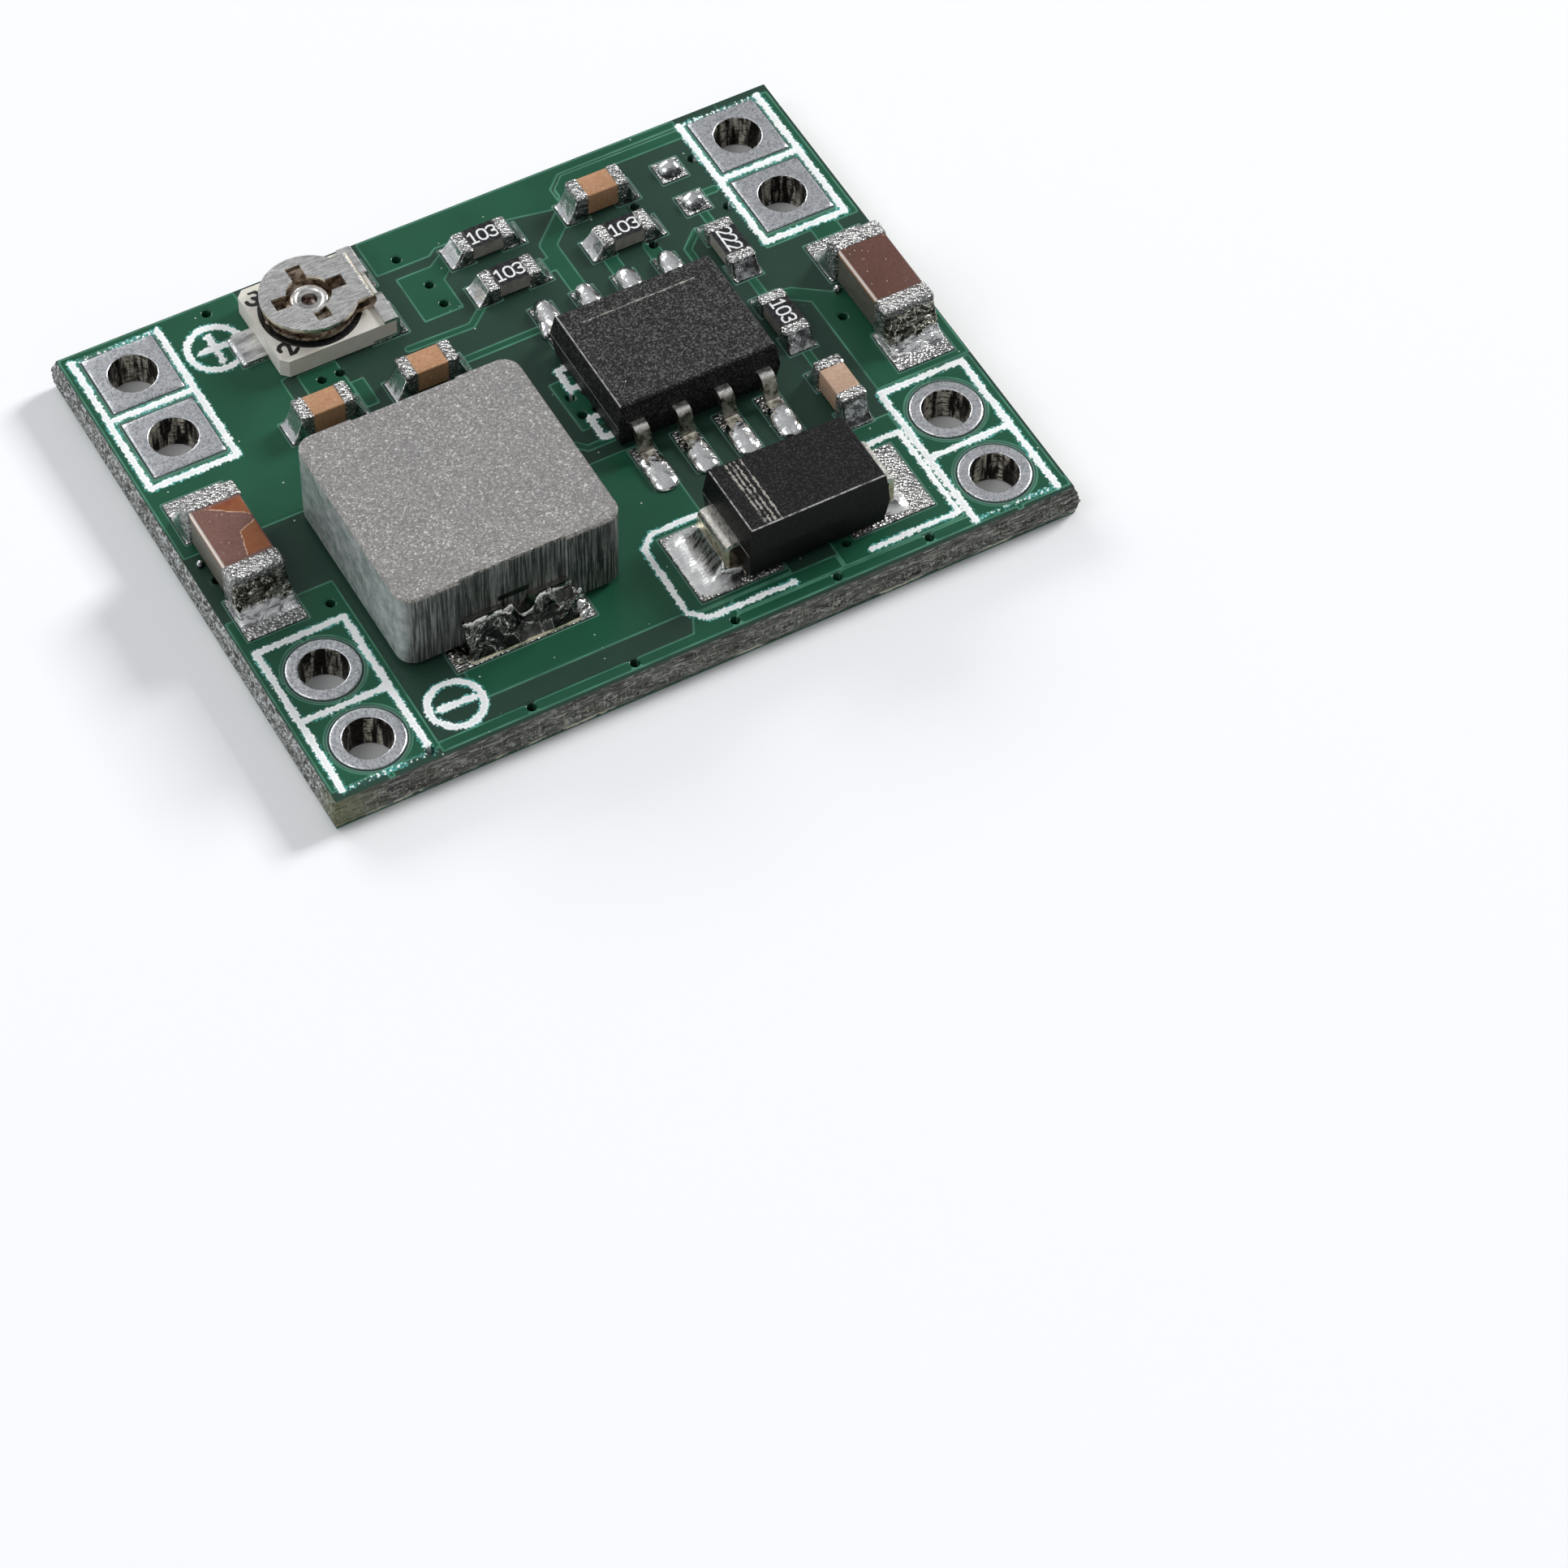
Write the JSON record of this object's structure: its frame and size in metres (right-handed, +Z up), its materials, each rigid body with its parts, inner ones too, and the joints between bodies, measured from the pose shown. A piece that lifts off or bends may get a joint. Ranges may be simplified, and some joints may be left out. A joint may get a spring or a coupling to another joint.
{
  "type": "buck converter module",
  "caption": "Small step-down converter board: green circuit board with shielded inductor, eight-lead chip, diode, turning trimmer, chip parts and plated wire holes.",
  "frame": {"origin": "middle of the board in X and Y, at the level of the lower lands' undersides", "axes": "+Z up out of the face with the parts; +X from the output end to the input end; +Y from the minus holes to the plus holes"},
  "size_m": [0.022, 0.0172, 0.0038],
  "materials": {
    "board": "glossy green lacquer over glass-fibre laminate",
    "tinned_copper": "bright tin over copper",
    "solder": "bright, slightly uneven",
    "iron_powder": "pressed, fine grained, satin",
    "copper_wire": "enamelled copper",
    "black_moulding": "fine matte grain",
    "silicon": "polished",
    "trimmer_ceramic": "matte white",
    "resistive_track": "glazed black",
    "rotor_metal": "stamped, satin",
    "plated_ends": "tinned",
    "resistor_ceramic": "black glaze over white ceramic",
    "capacitor_ceramic": "satin brown",
    "lead_metal": "tinned strip"
  },
  "bodies": {
    "board": {"board_sheet": "board", "bootstrap_capacitor_block": "capacitor_ceramic", "bootstrap_capacitor_ends": "plated_ends", "chip_body": "black_moulding", "chip_die": "silicon", "chip_heat_pad": "lead_metal", "chip_lead_1": "lead_metal", "chip_lead_2": "lead_metal", "chip_lead_3": "lead_metal", "chip_lead_4": "lead_metal", "chip_lead_5": "lead_metal", "chip_lead_6": "lead_metal", "chip_lead_7": "lead_metal", "chip_lead_8": "lead_metal", "compensation_capacitor_block": "capacitor_ceramic", "compensation_capacitor_ends": "plated_ends", "compensation_resistor_block": "resistor_ceramic", "compensation_resistor_ends": "plated_ends", "diode_anode_lead": "lead_metal", "diode_body": "black_moulding", "diode_cathode_lead": "lead_metal", "diode_die": "silicon", "enable_resistor_block": "resistor_ceramic", "enable_resistor_ends": "plated_ends", "feedback_capacitor_block": "capacitor_ceramic", "feedback_capacitor_ends": "plated_ends", "frequency_resistor_block": "resistor_ceramic", "frequency_resistor_ends": "plated_ends", "in_minus_land_1": "tinned_copper", "in_minus_land_2": "tinned_copper", "in_plus_land_1": "tinned_copper", "in_plus_land_2": "tinned_copper", "inductor_coil": "copper_wire", "inductor_core": "iron_powder", "inductor_terminal_far": "lead_metal", "inductor_terminal_near": "lead_metal", "input_capacitor_block": "capacitor_ceramic", "input_capacitor_ends": "plated_ends", "lower_feedback_resistor_block": "resistor_ceramic", "lower_feedback_resistor_ends": "plated_ends", "out_minus_land_1": "tinned_copper", "out_minus_land_2": "tinned_copper", "out_plus_land_1": "tinned_copper", "out_plus_land_2": "tinned_copper", "output_capacitor_block": "capacitor_ceramic", "output_capacitor_ends": "plated_ends", "output_filter_capacitor_block": "capacitor_ceramic", "output_filter_capacitor_ends": "plated_ends", "solder_joints": "solder", "trimmer_base": "trimmer_ceramic", "trimmer_end_terminal_far": "lead_metal", "trimmer_end_terminal_near": "lead_metal", "trimmer_track": "resistive_track", "trimmer_wiper_terminal": "lead_metal", "upper_feedback_resistor_block": "resistor_ceramic", "upper_feedback_resistor_ends": "plated_ends", "vias": "tinned_copper"},
    "rotor": {"trimmer_rotor": "rotor_metal"}
  },
  "joints": [
    {"name": "trimmer_turn", "type": "hinge", "parent": "board", "child": "rotor", "pos_m": [-0.00428, 0.00634, 0.0019], "axis": [0, 0, 1], "range_deg": [-120, 120]}
  ]
}
